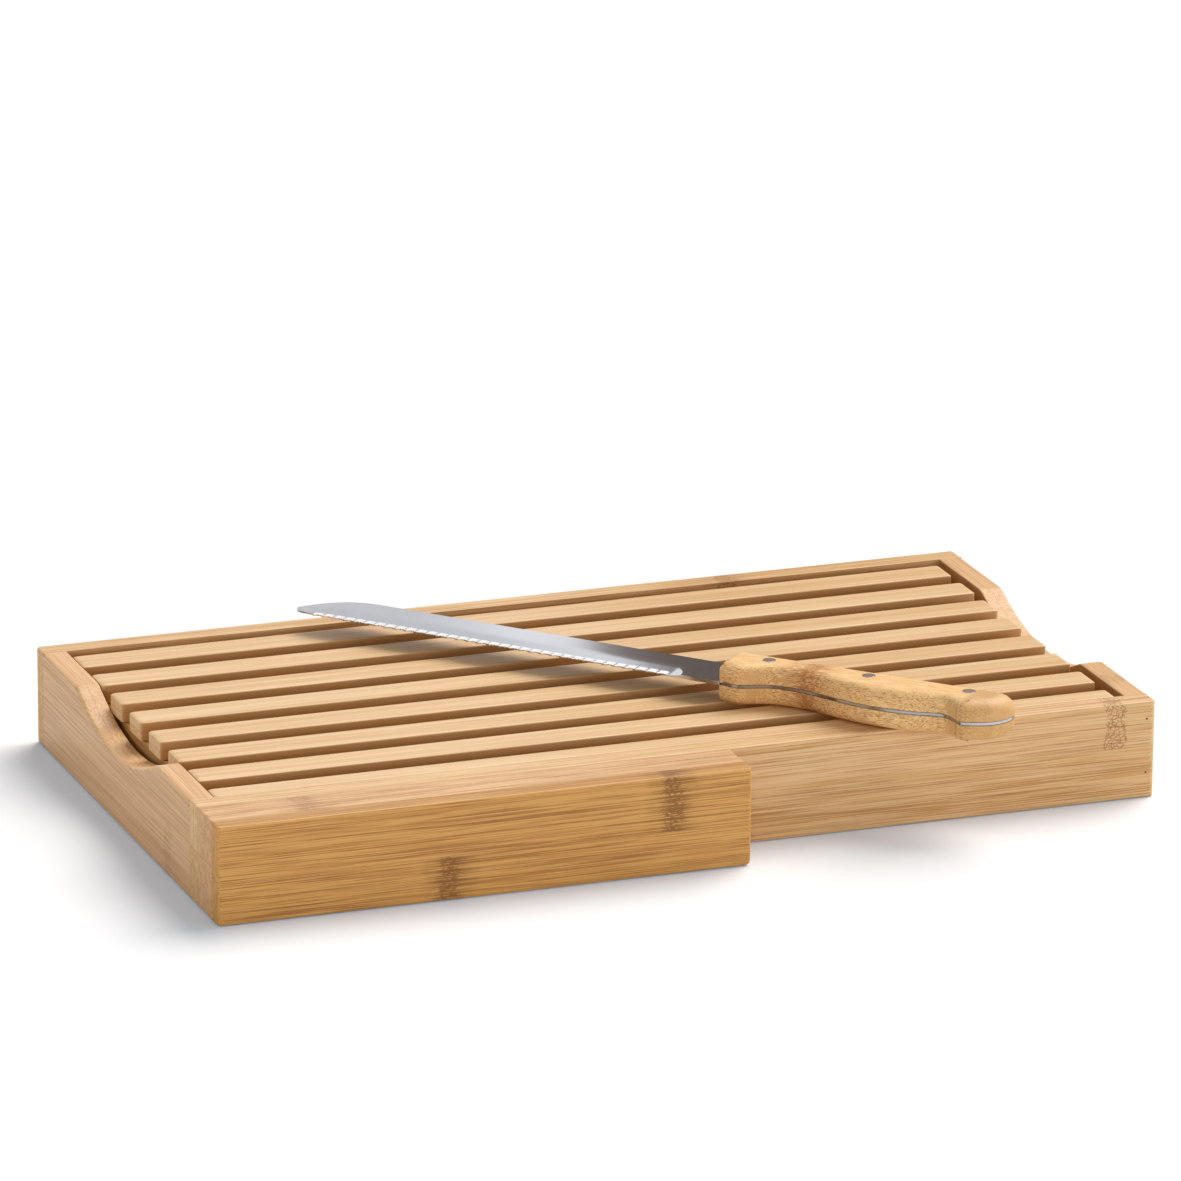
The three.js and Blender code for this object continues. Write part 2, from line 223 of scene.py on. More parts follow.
wall_easing, wall_corner, glue_line, rounding_segments = 0.0011, 0.0026, 0.00012, 4
strip_width, ply_depth, seam_reach, count_from = 0.0215, 0.005, 0.0003, 0.0002
fibre_width, fibre_slope, fibre_wave, waves_per_metre = 0.00046, 90, 0.0008, 9
knuckle_curl, knuckle_blot, knuckle_fan = (0.0047, 0.0038), (0.0050, 0.0022), (0.014, 0.001)
knuckle_bend, bends_per_metre = 0.0016, 220
cell_warp, cells_per_metre, maze_per_metre = 0.0016, 520, 700
glint_place, glint_reach = 0.0058, (0.003, 0.0008)
# painted_crease_line is the width of a painted line of shade along a handle's crease; butt_darkening is how
# much darker the wood is beyond it.
painted_crease_line, crease_fade, butt_darkening, inner_painted_shade = (0.0006, 0.0002), 0.003, 0.48, 0.75
wood_bump, wood_relief, oil_ior = 0.35, 0.00012, 1.47
bamboo_pale = (0.800, 0.520, 0.255, 1)
bamboo_deep = (0.600, 0.325, 0.105, 1)
bamboo_streak = (0.380, 0.165, 0.040, 1)
knuckle_brown = (0.225, 0.078, 0.003, 1)
brad_hole_radius, brad_hole_depth = 0.00045, 0.0006
end_of_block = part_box("block_body")[1].x


def new_group(name, inputs, outputs, kind="ShaderNodeTree"):
    """An empty group of nodes, its sockets named under their types, and what it is given."""
    group = bpy.data.node_groups.new(name, kind)
    for side, sockets in (("INPUT", inputs), ("OUTPUT", outputs)):
        for socket_type, labels in sockets.items():
            for label in labels.split(", "):
                group.interface.new_socket(label, in_out=side, socket_type="NodeSocket" + socket_type)
    return group, group.nodes.new("NodeGroupInput").outputs


def sums(tree, *operations):
    """A short function for each of these sums, on numbers or wires of one tree."""
    return [partial(calc, tree, operation) for operation in operations]


def ramp(tree, value, start, end, low=0.0, high=1.0):
    """Eases from low to high as value goes from start to end."""
    return node(tree, "ShaderNodeMapRange", {"Value": value, "From Min": start, "From Max": end,
                                             "To Min": low, "To Max": high},
                interpolation_type="SMOOTHSTEP").outputs[0]


def noise(tree, place, scale, detail, roughness=0.5):
    """Clouds of grey and of colour, mostly between 0.3 and 0.7."""
    return node(tree, "ShaderNodeTexNoise", {"Vector": place, "Scale": scale, "Detail": detail,
                                             "Roughness": roughness}).outputs


def by_row(tree, row, lower, upper):
    """One value for a board's lowest strip, another for those above it."""
    above = calc(tree, "GREATER_THAN", row, 0.5)
    return node(tree, "ShaderNodeMix", {"Factor": above, 2: lower, 3: upper}).outputs[0]


def blend(tree, share, first, second):
    """One colour over another."""
    return node(tree, "ShaderNodeMix", {"Factor": share, 6: first, 7: second}, data_type="RGBA").outputs[2]


def scaled(tree, place, *factors):
    """A place stretched along its three axes."""
    return vector_calc(tree, "MULTIPLY", place, factors)


def strips_group():
    """Which strip and ply of the board a point is in: its tone, and a place with its own grain."""
    group, given = new_group(
        "bamboo_strips",
        {"Float": "Along, Across, Through, Strip Width, Ply Depth, Seed, Lower Tone, Upper Tone, Variety"},
        {"Float": "Tone, Row, Seam", "Vector": "Place"})
    times, plus, minus = sums(group, "MULTIPLY", "ADD", "SUBTRACT")
    counts = {width: calc(group, "DIVIDE", given[axis], given[width])
              for axis, width in (("Across", "Strip Width"), ("Through", "Ply Depth"))}
    row, ply = (calc(group, "FLOOR", count) for count in counts.values())
    which = node(group, "ShaderNodeCombineXYZ", {0: row, 1: ply, 2: given["Seed"]})
    chance = node(group, "ShaderNodeTexWhiteNoise", {"Vector": which.outputs[0]},
                  noise_dimensions="3D").outputs
    shift = node(group, "ShaderNodeSeparateColor", {0: chance["Color"]}).outputs
    own = [plus(given[axis], shift[i]) for i, axis in enumerate(("Along", "Across", "Through"))]
    gaps = []
    for width, count in counts.items():
        part = calc(group, "FRACT", count)
        gaps.append(times(calc(group, "MINIMUM", part, minus(1, part)), given[width]))
    swing = times(minus(chance["Value"], 0.5), given["Variety"])
    node(group, "NodeGroupOutput", {
        "Tone": plus(by_row(group, row, given["Lower Tone"], given["Upper Tone"]), swing),
        "Row": row, "Place": node(group, "ShaderNodeCombineXYZ", dict(enumerate(own))).outputs[0],
        "Seam": ramp(group, calc(group, "MINIMUM", *gaps), seam_reach, 0)})
    return group


def fibres_group():
    """The long fibres of bamboo: streaks along the board, dots where they come out at an end."""
    group, given = new_group("bamboo_fibres", {"Vector": "Place", "Float": "Fibre Width, Slope"},
                             {"Float": "Fine, Streak, Band, Bundle"})
    wave = noise(group, given["Place"], waves_per_metre, 1)["Color"]
    wave = scaled(group, vector_calc(group, "SUBTRACT", wave, (0.5,) * 3), 0, fibre_wave, fibre_wave)
    fine = calc(group, "DIVIDE", 1, given["Fibre Width"])
    scale = node(group, "ShaderNodeCombineXYZ",
                 {0: calc(group, "DIVIDE", fine, given["Slope"]), 1: fine, 2: fine})
    drawn = vector_calc(group, "MULTIPLY", vector_calc(group, "ADD", given["Place"], wave), scale.outputs[0])

    def grain(detail, *stretch):
        return noise(group, scaled(group, drawn, *stretch), 1, detail, roughness=0.6)["Fac"]

    bundle = node(group, "ShaderNodeTexVoronoi",
                  {"Vector": scaled(group, drawn, 2.5, 0.8, 0.8), "Scale": 1}).outputs["Distance"]
    node(group, "NodeGroupOutput", {
        "Fine": grain(1, 1, 1, 1), "Streak": grain(1, 0.6, 0.98, 0.98),
        "Band": grain(2, 0.30, 0.17, 0.17), "Bundle": ramp(group, bundle, 0.42, 0.12)})
    return group


def knuckle_group():
    """A joint of the cane: a short band across one strip, where the fibres curl round small cells,
    and fan out and darken on both sides."""
    group, given = new_group(
        "bamboo_knuckle",
        {"Float": "Along, Row, Lower Knuckle, Upper Knuckle, Lower Fan, Upper Fan", "Vector": "Place"},
        {"Float": "Curl, Blot, Fan, Glint"})
    times, plus = sums(group, "MULTIPLY", "ADD")
    place = given["Place"]
    at, fanning = (by_row(group, given["Row"], given["Lower " + name], given["Upper " + name])
                   for name in ("Knuckle", "Fan"))
    wander = ramp(group, noise(group, place, bends_per_metre, 2)["Fac"], 0.2, 0.8,
                  -knuckle_bend, knuckle_bend)
    off = plus(calc(group, "SUBTRACT", given["Along"], at), wander)
    away = calc(group, "ABSOLUTE", off)
    warp = scaled(group, noise(group, place, maze_per_metre, 1)["Color"], *(cell_warp,) * 3)
    bent = scaled(group, vector_calc(group, "ADD", place, warp), 1, 1.35, 1.35)
    cells = node(group, "ShaderNodeTexVoronoi", {"Vector": bent, "Scale": cells_per_metre},
                 feature="DISTANCE_TO_EDGE").outputs["Distance"]
    maze = noise(group, scaled(group, place, 0.7, 1.3, 1.3), maze_per_metre, 2)["Fac"]
    blot = times(ramp(group, away, *knuckle_blot), ramp(group, maze, 0.44, 0.56))
    glint = ramp(group, calc(group, "ABSOLUTE", plus(off, glint_place)), *glint_reach)
    node(group, "NodeGroupOutput", {
        "Curl": times(ramp(group, away, *knuckle_curl), ramp(group, cells, 0.15, 0.05)),
        "Blot": times(blot, fanning), "Fan": times(ramp(group, away, *knuckle_fan), fanning),
        "Glint": times(glint, fanning)})
    return group


def bamboo_colour_group():
    """Colour, roughness and height of planed and oiled bamboo from its fibres and knuckles."""
    group, given = new_group(
        "bamboo_colour",
        {"Color": "Pale, Deep, Streak Colour, Knuckle Colour",
         "Float": "Tone, Seam, Fine, Streak, Band, Bundle, Curl, Blot, Fan, Glint, Knuckle, "
                  "Side, End, End Shade, Edge, Contrast, Pores"},
        {"Color": "Color", "Float": "Roughness, Height"})
    times, plus, minus, most = sums(group, "MULTIPLY", "ADD", "SUBTRACT", "MAXIMUM")
    curl_share, blot_share, edge_wear_and_highlight, tone_share = 0.62, 0.92, 0.35, 0.55
    plain_rough, dark_rough, end_rough = 0.40, 0.22, 0.10
    dark_sink, seam_sink, curl_sink = 0.8, 0.5, 0.9
    end, fine = given["End"], given["Fine"]
    plain = times(given["Contrast"], ramp(group, end, 0, 1, 1, 0.4))
    dark = times(plus(ramp(group, given["Streak"], 0.45, 0.63, 0, 0.85),
                      times(given["Bundle"], given["Pores"])), plain)
    glint = times(given["Glint"], ramp(group, fine, 0.35, 0.6, 0.1, 0.6))
    tangle = most(times(given["Curl"], curl_share), times(given["Blot"], blot_share))
    fanned = times(given["Fan"], ramp(group, given["Streak"], 0.42, 0.56, 0.10, 0.95))
    colour = given["Pale"]
    for over, share in (
            ("Deep", plus(times(given["Tone"], tone_share),
                          ramp(group, given["Band"], 0.36, 0.64, -0.1, 0.55))),
            ("Streak Colour", dark),
            ("Pale", times(ramp(group, fine, 0.49, 0.60, 0, 0.95), plain)),
            # Seam brings the glue lines between strips, and on a handle instead the painted line of shade at
            # its crease.
            ("Streak Colour", times(given["Seam"], ramp(group, end, 0, 1, 0.30, 0.65))),
            ("Pale", times(glint, given["Knuckle"])),
            ("Knuckle Colour", times(most(tangle, fanned), given["Knuckle"])),
            # Sawn ends darken. Side brings the painted shade of narrow and inward faces, and the darker butt
            # of a handle.
            ("Streak Colour", most(times(end, given["End Shade"]), given["Side"])),
            # Eased edges pale: partly sanded wood, partly a painted highlight.
            ("Pale", times(given["Edge"], edge_wear_and_highlight))):
        colour = blend(group, share, colour, given[over])
    rough = plus(plus(plain_rough, times(dark, dark_rough)), times(end, end_rough))
    height = minus(minus(fine, times(dark, dark_sink)), times(given["Seam"], seam_sink))
    height = minus(height, times(tangle, curl_sink))
    node(group, "NodeGroupOutput", {"Color": colour, "Roughness": rough, "Height": height})
    return group


strips_nodes, fibres_nodes = strips_group(), fibres_group()
knuckle_nodes, colour_nodes = knuckle_group(), bamboo_colour_group()


def own_frame(tree, wire, spot, angle):
    """A place or direction, seen from a piece that lies askew at a spot."""
    return node(tree, "ShaderNodeMapping", {0: wire, 1: spot, 2: (0, 0, angle)},
                vector_type="TEXTURE").outputs[0]


def end_material(tree, feeds, height, strength, depth):
    """The surface itself, with a fine relief."""
    bump = node(tree, "ShaderNodeBump", {"Strength": strength, "Distance": depth, "Height": height})
    surface = node(tree, "ShaderNodeBsdfPrincipled", {**feeds, "Normal": bump.outputs[0]})
    node(tree, "ShaderNodeOutputMaterial", {"Surface": surface.outputs[0]})


def bamboo(name, order, start=(0, 0, 0), seed=0.0, piece_seed=None, turned=None,
           pale=bamboo_pale, deep=bamboo_deep, streak=bamboo_streak, knot=knuckle_brown,
           strip=strip_width, ply=ply_depth, tones=(0.5, 0.5), variety=0.35,
           fibre=fibre_width, slope=fibre_slope, contrast=1.0, pores=0.3,
           knuckles=(9, 9), fans=(1, 1), knuckle=1.0,
           calm=1.0, edge=1.0, side=0.0, ends=0.04, inner=None, crease=None):
    """Planed bamboo. order names the axes along, across and through the grain, and start is where
    the strips are counted from. A seed gives a board its own grain; piece_seed names an attribute
    that does so for each bar of a row, and turned is the place and turn of a piece that lies askew.
    Pairs hold for the lowest strip and for those above: tones, the places of the knuckles along
    the grain (9 is out of sight), and how far they fan out. calm is the contrast left on the broad
    faces, edge the paling of eased edges, partly sanded wood and partly a painted highlight, side
    the painted shade on the narrow faces, ends the darkening of the sawn faces, inner the face that
    looks into the tray, darkened with painted shade, and crease the place of a sanding crease, drawn
    as a painted line of shade, beyond which the wood is darker."""
    material, tree = new_shader(bpy.data.materials, name)
    times, minus, most = sums(tree, "MULTIPLY", "SUBTRACT", "MAXIMUM")
    where = node(tree, "ShaderNodeTexCoord").outputs
    place, normal = where["Object"], where["Normal"]
    if turned:
        place = own_frame(tree, place, *turned)
        normal = own_frame(tree, normal, (0, 0, 0), turned[1])
    axis, looking = (dict(zip("xyz", node(tree, "ShaderNodeSeparateXYZ", {0: wire}).outputs))
                     for wire in (vector_calc(tree, "SUBTRACT", place, start), normal))
    along, across, through = (axis[a] for a in order)
    facing = {a: calc(tree, "ABSOLUTE", wire) for a, wire in looking.items()}
    sawn, narrow, broad = (facing[a] for a in order)
    if piece_seed:
        seed = node(tree, "ShaderNodeAttribute", attribute_name=piece_seed).outputs["Fac"]

    def group(which, feeds):
        return node(tree, "ShaderNodeGroup", feeds, node_tree=which).outputs

    strips = group(strips_nodes, {
        "Along": along, "Across": across, "Through": through, "Strip Width": strip, "Ply Depth": ply,
        "Seed": seed, "Lower Tone": tones[0], "Upper Tone": tones[1], "Variety": variety})
    fibres = group(fibres_nodes, {"Place": strips["Place"], "Fibre Width": fibre, "Slope": slope})
    joints = group(knuckle_nodes, {
        "Along": along, "Place": strips["Place"], "Row": strips["Row"], "Lower Knuckle": knuckles[0],
        "Upper Knuckle": knuckles[1], "Lower Fan": fans[0], "Upper Fan": fans[1]})
    seams_and_painted_crease = strips["Seam"]
    # Painted shade on the narrow faces, by side: the slats' sides lie in the gaps.
    shade = ramp(tree, narrow, 0.5, 0.95, 0, side)
    # A painted line of shade along the crease, and darker wood beyond it.
    if crease is not None:
        off = calc(tree, "ABSOLUTE", minus(along, crease))
        seams_and_painted_crease = times(ramp(tree, off, *painted_crease_line), narrow)
        shade = most(shade, ramp(tree, along, crease, crease + crease_fade, 0, butt_darkening))
    # Painted shade on the face that looks into the tray.
    if inner:
        inward = times(looking[inner[1]], float(inner[0] + "1"))
        shade = most(shade, ramp(tree, inward, 0.5, 0.95, 0, inner_painted_shade))
    # Where the normal leans off the axes, on eased edges, which pale with sanding and a painted highlight.
    square = most(most(facing["x"], facing["y"]), facing["z"])
    finish = group(colour_nodes, {
        "Pale": pale, "Deep": deep, "Streak Colour": streak, "Knuckle Colour": knot, "Pores": pores,
        "Tone": strips["Tone"], "Seam": seams_and_painted_crease, "Knuckle": knuckle, "Side": shade, "End Shade": ends,
        "Contrast": times(contrast, ramp(tree, broad, 0.6, 0.98, 1, calm)),
        "End": ramp(tree, sawn, 0.1, 0.8), "Edge": ramp(tree, square, 0.995, 0.8, 0, edge),
        **dict(fibres.items()), **dict(joints.items())})
    end_material(tree, {"Base Color": finish["Color"], "Roughness": finish["Roughness"],
                        "IOR": oil_ior}, finish["Height"], wood_bump, wood_relief)
    return material


def rounded_piece(name, shape, widest):
    """The piece of a shape whose edges are weighted, each rounded by its share of the widest."""
    mesh = bpy.data.meshes.new(name)
    shape.to_mesh(mesh)
    shape.free()
    piece = place_in_scene(name, mesh)
    rounding = piece.modifiers.new("rounding", "BEVEL")
    rounding.limit_method, rounding.width, rounding.segments = "WEIGHT", widest, rounding_segments
    rounding.use_clamp_overlap = False
    return piece


def planed_board(name, low, high, easing, crisp=(), corner=None, foot=None, split=None):
    """A board between two corners. Its edges are eased, its upright corners and the foot of its
    right end more so, and the edges of its glued faces stay crisp. A face glued only up to a place
    along X is given with split."""
    shape = bmesh.new()
    bmesh.ops.create_cube(shape, size=1)
    for point in shape.verts:
        point.co = Vector(high[i] if point.co[i] > 0 else low[i] for i in range(3))
    if split is not None:
        bmesh.ops.bisect_plane(shape, geom=shape.verts[:] + shape.edges[:] + shape.faces[:],
                               plane_co=(split, 0, 0), plane_no=(1, 0, 0))
    widest = max(easing, corner or 0, foot or 0)
    weight = shape.edges.layers.float.new("bevel_weight_edge")
    for edge in shape.edges:
        sides = set()
        for face in edge.link_faces:
            i = max(range(3), key=lambda k: abs(face.normal[k]))
            sides.add(("+" if face.normal[i] > 0 else "-") + "xyz"[i])
        middle = (edge.verts[0].co + edge.verts[1].co) / 2
        glued = [face for face in sides if face in crisp
                 or (split is not None and face == "-y" and middle.x < split)]
        upright = all(face[1] != "z" for face in sides)
        if len(sides) < 2:
            edge[weight] = 0
        elif glued:
            edge[weight] = glue_line / widest
        elif foot and sides == {"+x", "-z"}:
            edge[weight] = foot / widest
        else:
            edge[weight] = (corner if corner and upright else easing) / widest
    return rounded_piece(name, shape, widest)


def finish_piece(piece, material=None, tool=None):
    """Cuts a tool's shape out of a piece, shades it smoothly over its flats, and turns it and its
    modifiers into one plain mesh."""
    if tool:
        cut = piece.modifiers.new("cut", "BOOLEAN")
        cut.operation, cut.solver, cut.object = "DIFFERENCE", "EXACT", tool
    even = piece.modifiers.new("even", "WEIGHTED_NORMAL")
    even.keep_sharp, even.weight = True, 50
    for face in piece.data.polygons:
        face.use_smooth = True
    bpy.context.view_layer.update()
    graph = bpy.context.evaluated_depsgraph_get()
    plain = bpy.data.meshes.new_from_object(piece.evaluated_get(graph), depsgraph=graph)
    piece.modifiers.clear()
    piece.data = plain
    if material:
        plain.materials.clear()
        plain.materials.append(material)
    if tool:
        bpy.data.objects.remove(tool)
    return piece


def end_tree(tree, given, geometry):
    """Real meshes, smooth, in the given material."""
    real = node(tree, "GeometryNodeRealizeInstances", {0: geometry})
    smooth = node(tree, "GeometryNodeSetShadeSmooth", {0: real.outputs[0]})
    painted = node(tree, "GeometryNodeSetMaterial", {0: smooth.outputs[0], "Material": given["Material"]})
    node(tree, "NodeGroupOutput", {0: painted.outputs[0]})


def pins_tree():
    """A row of round pins with lightly crowned ends, one on each point that the tree is given."""
    tree, given = new_group("pins", {"Geometry": "Geometry", "Float": "Radius, Length, Crown",
                                     "Vector": "Turn", "Material": "Material"},
                            {"Geometry": "Geometry"}, "GeometryNodeTree")
    body = node(tree, "GeometryNodeMeshCylinder",
                {"Vertices": 28, "Side Segments": 1, "Fill Segments": 5, "Radius": given["Radius"],
                 "Depth": given["Length"]})
    here = node(tree, "GeometryNodeInputPosition").outputs[0]
    axis = node(tree, "ShaderNodeSeparateXYZ", {0: here}).outputs
    reach = vector_calc(tree, "LENGTH", scaled(tree, here, 1, 1, 0))
    share = calc(tree, "DIVIDE", reach, given["Radius"])
    drop = calc(tree, "MULTIPLY", calc(tree, "POWER", share, 7), given["Crown"])
    drop = calc(tree, "MULTIPLY", drop, calc(tree, "SIGN", axis[2]))
    offset = node(tree, "ShaderNodeCombineXYZ", {2: calc(tree, "MULTIPLY", drop, -1)})
    crowned = node(tree, "GeometryNodeSetPosition", {0: body.outputs["Mesh"], "Offset": offset.outputs[0]})
    rotation = node(tree, "FunctionNodeEulerToRotation", {0: given["Turn"]})
    placed = node(tree, "GeometryNodeInstanceOnPoints",
                  {"Points": given["Geometry"], "Instance": crowned.outputs[0],
                   "Rotation": rotation.outputs[0]})
    end_tree(tree, given, placed.outputs[0])
    return tree


def made_by(tree, name, values, points=()):
    """A piece shaped by a geometry node tree, its inputs set by the sockets' identifiers."""
    piece = mesh_piece(name, points)
    rule = piece.modifiers.new("rule", "NODES")
    rule.node_group = tree
    for socket in tree.interface.items_tree:
        if socket.item_type == "SOCKET" and socket.in_out == "INPUT" and socket.name in values:
            rule[socket.identifier] = values[socket.name]
    return piece


pins = pins_tree()
quarter_turn = math.pi / 2
brad_names = {side: [f"brad_{side}_{end}_{level}" for end in ("left", "right") for level in ("low", "high")]
              for side in ("front", "back")}


def brad_places(side, outward):
    """The middles of the brads' heads, on the wall's face."""
    places = []
    for name in brad_names[side]:
        low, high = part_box(name)
        places.append(((low.x + high.x) / 2, high.y if outward > 0 else low.y, (low.z + high.z) / 2))
    return places


for side, outward, seed, knuckles, fans, tones in (
        ("front", -1, 3.0, (0.0185, 0.1825), (0.8, 0.0), (0.85, 0.15)),
        ("back", 1, 8.0, (-0.118, 0.096), (0.8, 0.3), (1.1, 0.9))):
    low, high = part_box(side + "_wall")
    board = planed_board(side + "_wall_board", low, high, wall_easing, corner=wall_corner,
                         crisp=("+y",) if outward < 0 else ("-y",),
                         split=end_of_block if outward < 0 else None)
    holes = made_by(pins, "holes", {"Radius": brad_hole_radius, "Length": 2 * brad_hole_depth,
                                    "Turn": (quarter_turn, 0, 0)}, brad_places(side, outward))
    wall_bamboo = bamboo(side + "_wall_bamboo", "xzy", start=(0, low.y - count_from, count_from),
                         seed=seed, knuckles=knuckles, fans=fans, contrast=0.75, tones=tones)
    finish_piece(board, wall_bamboo, tool=holes)
    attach(board, "tray")
    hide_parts(side + "_wall")


# End panels: short boards between the long walls, each with a finger scoop
# sawn out of its top edge in one shallow arc and sanded round on the outside.
# The grain runs from front to back, so the scoop cuts across the fibres.

scoop_width, scoop_depth, scoop_rim_radius = 0.104, 0.0123, 0.012
scoop_steps, scoop_rim_steps = 30, 6
panel_easing, inner_easing, same_place = 0.0015, 0.0006, 1e-6
panel_pale, panel_deep = (0.810, 0.500, 0.245, 1), (0.660, 0.355, 0.140, 1)


def scoop_line():
    """Half of the scoop's line, from the rim to its middle: distance from the middle, and height."""
    half = scoop_width / 2
    radius = (half ** 2 + scoop_depth ** 2) / (2 * scoop_depth)
    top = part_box("left_panel")[1].z
    middle, rim = top - scoop_depth + radius, top - scoop_rim_radius
    rim_place = math.sqrt((radius + scoop_rim_radius) ** 2 - (middle - rim) ** 2)
    turn = math.atan2(middle - rim, -rim_place)
    line = [(rim_place + scoop_rim_radius * math.cos(a), rim + scoop_rim_radius * math.sin(a))
            for a in np.linspace(quarter_turn, turn, scoop_rim_steps)]
    line += [(radius * math.cos(a), middle + radius * math.sin(a))
             for a in np.linspace(turn - math.pi, -quarter_turn, scoop_steps)[1:]]
    return line


def end_panel(name, low, high, outer):
    """A panel with the scoop in its outline. Its outer edges are eased more than its inner ones."""
    half = scoop_line()
    outline = [(low.y, low.z), (high.y, low.z), (high.y, high.z)]
    outline += half + [(-y, z) for y, z in reversed(half[:-1])] + [(low.y, high.z)]
    shape = bmesh.new()
    face = shape.faces.new([shape.verts.new((low.x, y, z)) for y, z in outline])
    shape.normal_update()
    rest = bmesh.ops.extrude_face_region(shape, geom=[face])
    moved = [v for v in rest["geom"] if isinstance(v, bmesh.types.BMVert)]
    bmesh.ops.translate(shape, verts=moved, vec=(high.x - low.x, 0, 0))
    bmesh.ops.recalc_face_normals(shape, faces=shape.faces[:])
    weight = shape.edges.layers.float.new("bevel_weight_edge")
    for edge in shape.edges:
        first, second = (v.co for v in edge.verts)
        at_wall = abs(abs(first.y) - high.y) < same_place
        if abs(first.x - second.x) < same_place:
            glued = at_wall and abs(first.y - second.y) < same_place
            outside = ((first.x + second.x) > (low.x + high.x)) == (outer > 0)
            edge[weight] = (glue_line if glued else panel_easing if outside else inner_easing) / panel_easing
        elif at_wall and max(first.z, second.z) > low.z + same_place:
            edge[weight] = glue_line / panel_easing
    return rounded_piece(name, shape, panel_easing)


# inner names the face that looks into the tray, which gets painted shade.
for side, outer, inner, seed, knuckles in (("left", -1, "+x", 14.0, (-0.068, 0.31)),
                                           ("right", 1, "-x", 21.0, (0.052, -0.075))):
    low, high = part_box(side + "_panel")
    panel = end_panel(side + "_panel_board", low, high, outer)
    finish_piece(panel, bamboo(side + "_panel_bamboo", "yzx", start=(low.x - count_from, 0, count_from),
                               seed=seed, knuckles=knuckles, knuckle=0.5, fans=(0.1, 0.4), contrast=0.5,
                               inner=inner, tones=(0.4, 0.5), pale=panel_pale, deep=panel_deep))
    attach(panel, "tray")
    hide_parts(side + "_panel")


# Crumb floor and ledges: a thin bamboo panel let in between the walls, and two
# square strips glued on it along the long walls, on which the grate rests.

ledge_edge, corner_points, floor_deep = (0.0003, 0.0003, 0.0003), 8, (0.52, 0.28, 0.095, 1)

low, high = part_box("floor_panel")
floor_board = planed_board("floor_panel_board", low, high, glue_line, crisp=("+x", "-x", "+y", "-y"))
finish_piece(floor_board, bamboo("floor_bamboo", "xyz", seed=31.0, knuckles=(-0.06, 0.13), knuckle=0.6,
                                 deep=floor_deep))
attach(floor_board, "tray")
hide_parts("floor_panel")


def bars_tree():
    """A row of like bars with softly rounded edges: a ball parted into its eight corners. Each bar
    carries its number in the row, from which its own grain is drawn."""
    tree, given = new_group("bars", {"Geometry": "Geometry", "Vector": "Size, Easing, First, Step",
                                     "Int": "Count", "Float": "Number", "Material": "Material"},
                            {"Geometry": "Geometry"}, "GeometryNodeTree")
    vector = partial(vector_calc, tree)
    cube = node(tree, "GeometryNodeMeshCube",
                {"Size": (2, 2, 2), **{"Vertices " + a: corner_points for a in "XYZ"}})
    here = node(tree, "GeometryNodeInputPosition").outputs[0]
    sign = vector("SIGN", here)
    inmost = 1 / (corner_points - 1)
    part = vector("DIVIDE", vector("SUBTRACT", vector("ABSOLUTE", here), (inmost,) * 3), (1 - inmost,) * 3)
    ball = vector("NORMALIZE", vector("MULTIPLY", part, sign))
    half = vector("MULTIPLY", given["Size"], (0.5,) * 3)
    core = vector("MULTIPLY", vector("SUBTRACT", half, given["Easing"]), sign)
    rounded = vector("ADD", vector("MULTIPLY", ball, given["Easing"]), core)
    bar = node(tree, "GeometryNodeSetPosition", {0: cube.outputs["Mesh"], "Position": rounded})
    places = node(tree, "GeometryNodeMeshLine",
                  {"Count": given["Count"], "Start Location": given["First"], "Offset": given["Step"]})
    row = node(tree, "GeometryNodeInstanceOnPoints",
               {"Points": places.outputs[0], "Instance": bar.outputs[0]})
    number = calc(tree, "ADD", node(tree, "GeometryNodeInputIndex").outputs[0], given["Number"])
    named = node(tree, "GeometryNodeStoreNamedAttribute",
                 {0: row.outputs[0], "Name": "bar_number", "Value": number},
                 data_type="FLOAT", domain="INSTANCE")
    end_tree(tree, given, named.outputs[0])
    return tree


bars = bars_tree()


def row_of_bars(name, nodes, material, easing, number):
    """Bars over the boxes of the named CAD nodes, which are alike and evenly spaced."""
    boxes = [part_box(each) for each in nodes]
    middles = [(low + high) / 2 for low, high in boxes]
    step = middles[1] - middles[0] if len(middles) > 1 else Vector((0, 0, 0))
    return finish_piece(made_by(bars, name, {
        "Size": boxes[0][1] - boxes[0][0], "Easing": easing, "First": middles[0], "Step": step,
        "Count": len(nodes), "Number": number, "Material": material}))


ledge_bamboo = bamboo("ledge_bamboo", "xyz", piece_seed="bar_number", contrast=0.8)
ledges = row_of_bars("ledges", ["front_ledge", "back_ledge"], ledge_bamboo, ledge_edge, 40.0)
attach(ledges, "tray")
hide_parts("front_ledge", "back_ledge")


# Brads: thin steel pins shot through the long walls into the end panels, two
# at each corner. Only their small dark heads show, a little below the wood.

brad_sink, brad_crown, brad_play, brad_rough, brad_lines = 0.0003, 0.0001, 0.98, 0.6, 0.0002
brad_dark, brad_worn = (0.050, 0.022, 0.011, 1), (0.11, 0.055, 0.030, 1)
steel_bump, steel_relief, line_stretch, clouds_per_metre = 0.03, 0.00002, 0.02, 60
# Reground scallops are whiter, partly as a painted highlight; the tang is darker, as a painted reflection.
reground_white_and_highlight, tang_painted_reflection, ground_polish = (0.98, 0.98, 0.99, 1), (0.20, 0.19, 0.185, 1), 0.06


def satin_group():
    """Fine grinding lines on steel, and a faint cloudiness over them."""
    group, given = new_group("satin_steel", {"Vector": "Place", "Float": "Line Width"},
                             {"Float": "Lines, Cloud"})
    drawn = scaled(group, given["Place"], 1, line_stretch, line_stretch)
    scale = calc(group, "DIVIDE", 1, given["Line Width"])
    node(group, "NodeGroupOutput", {"Lines": noise(group, drawn, scale, 3, roughness=0.7)["Fac"],
                                    "Cloud": noise(group, given["Place"], clouds_per_metre, 3)["Fac"]})
    return group


satin_nodes = satin_group()


